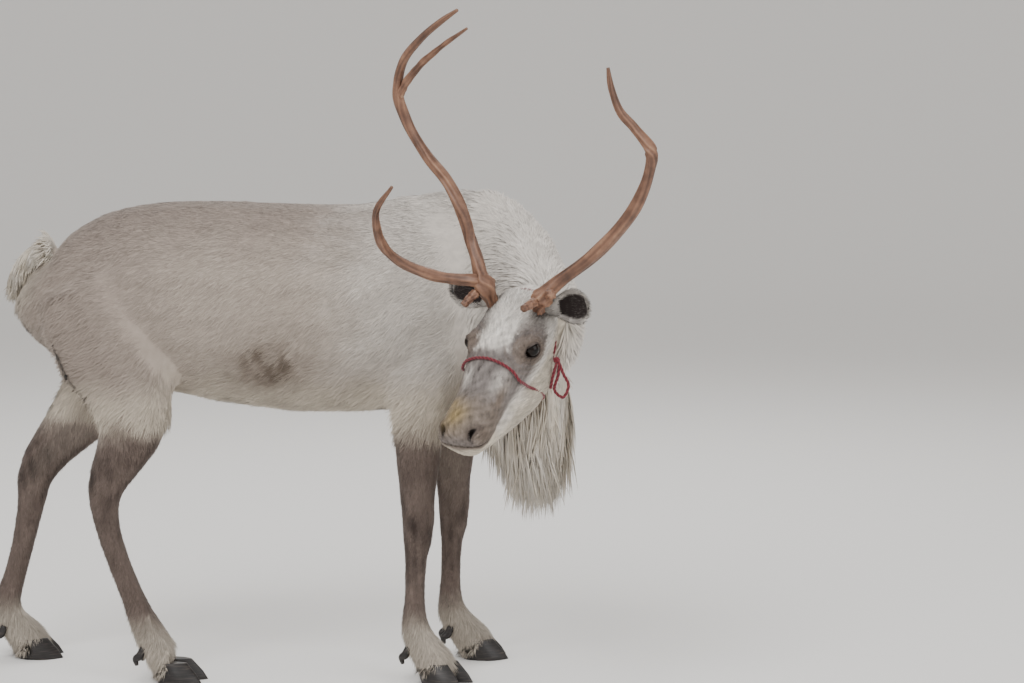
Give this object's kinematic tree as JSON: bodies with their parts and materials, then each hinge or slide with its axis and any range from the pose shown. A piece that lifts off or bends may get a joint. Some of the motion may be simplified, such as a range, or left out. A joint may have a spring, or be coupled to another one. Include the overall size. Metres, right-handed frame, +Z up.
{
  "type": "standing reindeer model",
  "caption": "Life-size still model of a reindeer in pale winter coat, standing with its neck turned to its right, with long bare antlers, throat mane and a red cord halter",
  "frame": {"origin": "on the ground, under the middle of the whole object's bounding box", "axes": "+X from tail to chest, +Y to the animal's left side, away from the side the head is turned to, +Z up"},
  "size_m": [1.4336, 0.7488, 1.4076],
  "materials": {
    "pale_coat": "matt short winter hair",
    "cream_coat": "matt long hair",
    "leg_coat": "matt short hair",
    "antler_bone": "satin, worn",
    "hoof_horn": "satin",
    "eye_gloss": "wet gloss",
    "red_cord": "matt twisted cord"
  },
  "bodies": {
    "root": {"head": "pale_coat", "neck": "pale_coat", "throat_mane": "cream_coat", "chest": "pale_coat", "barrel": "pale_coat", "rump": "pale_coat", "tail": "cream_coat", "left_ear": "pale_coat", "right_ear": "pale_coat", "left_eye": "eye_gloss", "right_eye": "eye_gloss", "right_antler_beam": "antler_bone", "right_antler_upper": "antler_bone", "right_antler_bez_tine": "antler_bone", "right_antler_brow_stub": "antler_bone", "right_antler_fork_tine": "antler_bone", "left_antler_beam": "antler_bone", "left_antler_upper": "antler_bone", "left_antler_brow_stub": "antler_bone", "left_antler_bez_stub": "antler_bone", "right_foreleg_upper": "pale_coat", "right_foreleg_lower": "leg_coat", "right_foreleg_inner_hoof": "hoof_horn", "right_foreleg_outer_hoof": "hoof_horn", "right_foreleg_inner_dewclaw": "hoof_horn", "right_foreleg_outer_dewclaw": "hoof_horn", "left_foreleg_upper": "pale_coat", "left_foreleg_lower": "leg_coat", "left_foreleg_inner_hoof": "hoof_horn", "left_foreleg_outer_hoof": "hoof_horn", "left_foreleg_inner_dewclaw": "hoof_horn", "left_foreleg_outer_dewclaw": "hoof_horn", "right_hindleg_upper": "pale_coat", "right_hindleg_lower": "leg_coat", "right_hindleg_inner_hoof": "hoof_horn", "right_hindleg_outer_hoof": "hoof_horn", "right_hindleg_inner_dewclaw": "hoof_horn", "right_hindleg_outer_dewclaw": "hoof_horn", "left_hindleg_upper": "pale_coat", "left_hindleg_lower": "leg_coat", "left_hindleg_inner_hoof": "hoof_horn", "left_hindleg_outer_hoof": "hoof_horn", "left_hindleg_inner_dewclaw": "hoof_horn", "left_hindleg_outer_dewclaw": "hoof_horn", "halter_noseband": "red_cord", "halter_headstall": "red_cord", "halter_bow": "red_cord"}
  },
  "joints": []
}
